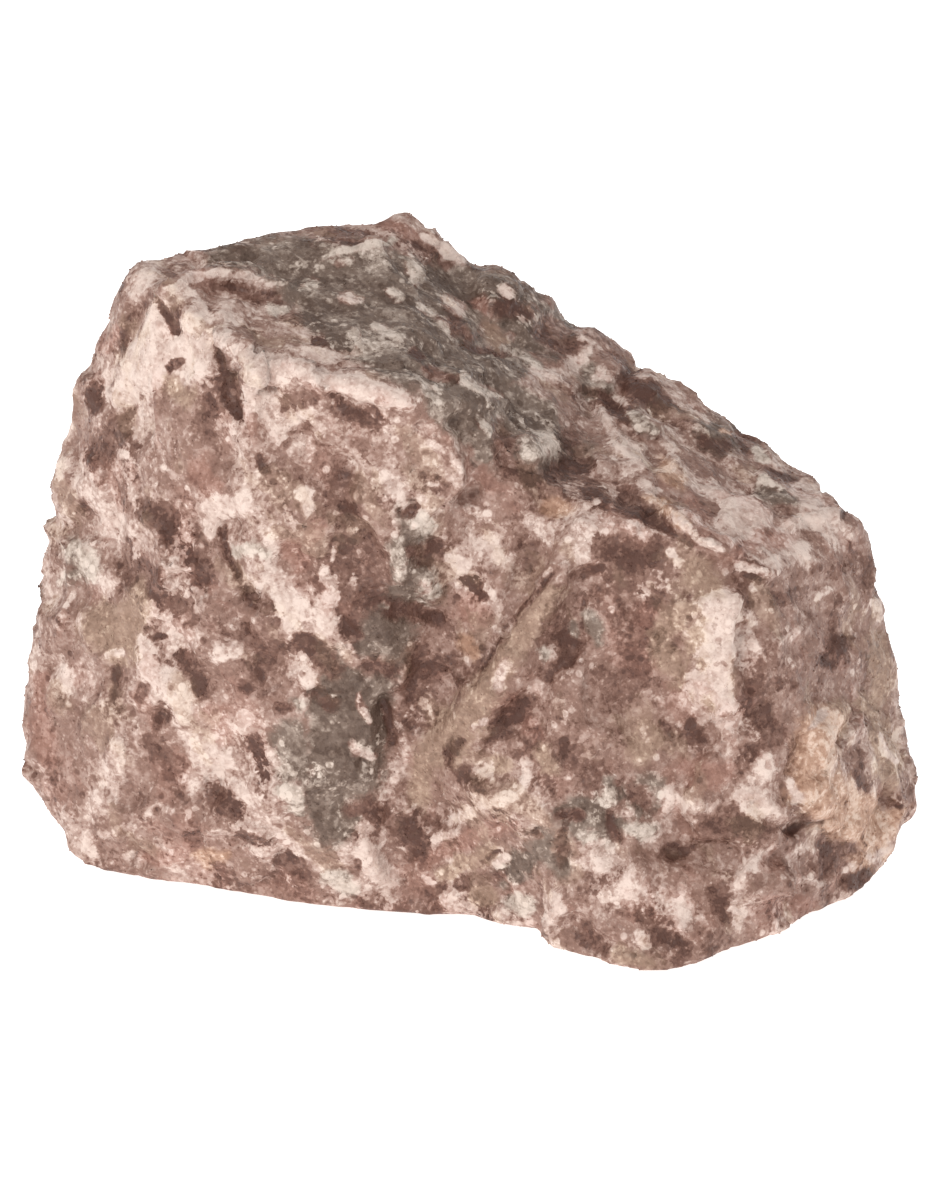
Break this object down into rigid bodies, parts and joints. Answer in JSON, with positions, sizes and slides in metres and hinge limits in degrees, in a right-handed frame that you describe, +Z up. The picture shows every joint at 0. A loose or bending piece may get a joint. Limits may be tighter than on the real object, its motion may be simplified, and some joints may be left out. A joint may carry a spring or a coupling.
{
  "type": "raw aventurine stone",
  "caption": "Rough, unpolished chunk of reddish aventurine quartzite, blocky with a sloping top and a valley down its front, that rests on a flat spot.",
  "frame": {"origin": "on the ground at the bottom centre of the bounding box, inside the flat spot that the stone rests on", "axes": "+X along the stone's longest side, to the right as seen from the front; +Y from the front towards the back; +Z up"},
  "size_m": [0.0752, 0.05, 0.0529],
  "materials": {
    "aventurine": "rough broken quartzite, dull pinkish brown mottled with cream, grey and maroon, with a fine sugary sparkle"
  },
  "bodies": {
    "root": {"stone": "aventurine"}
  },
  "joints": []
}
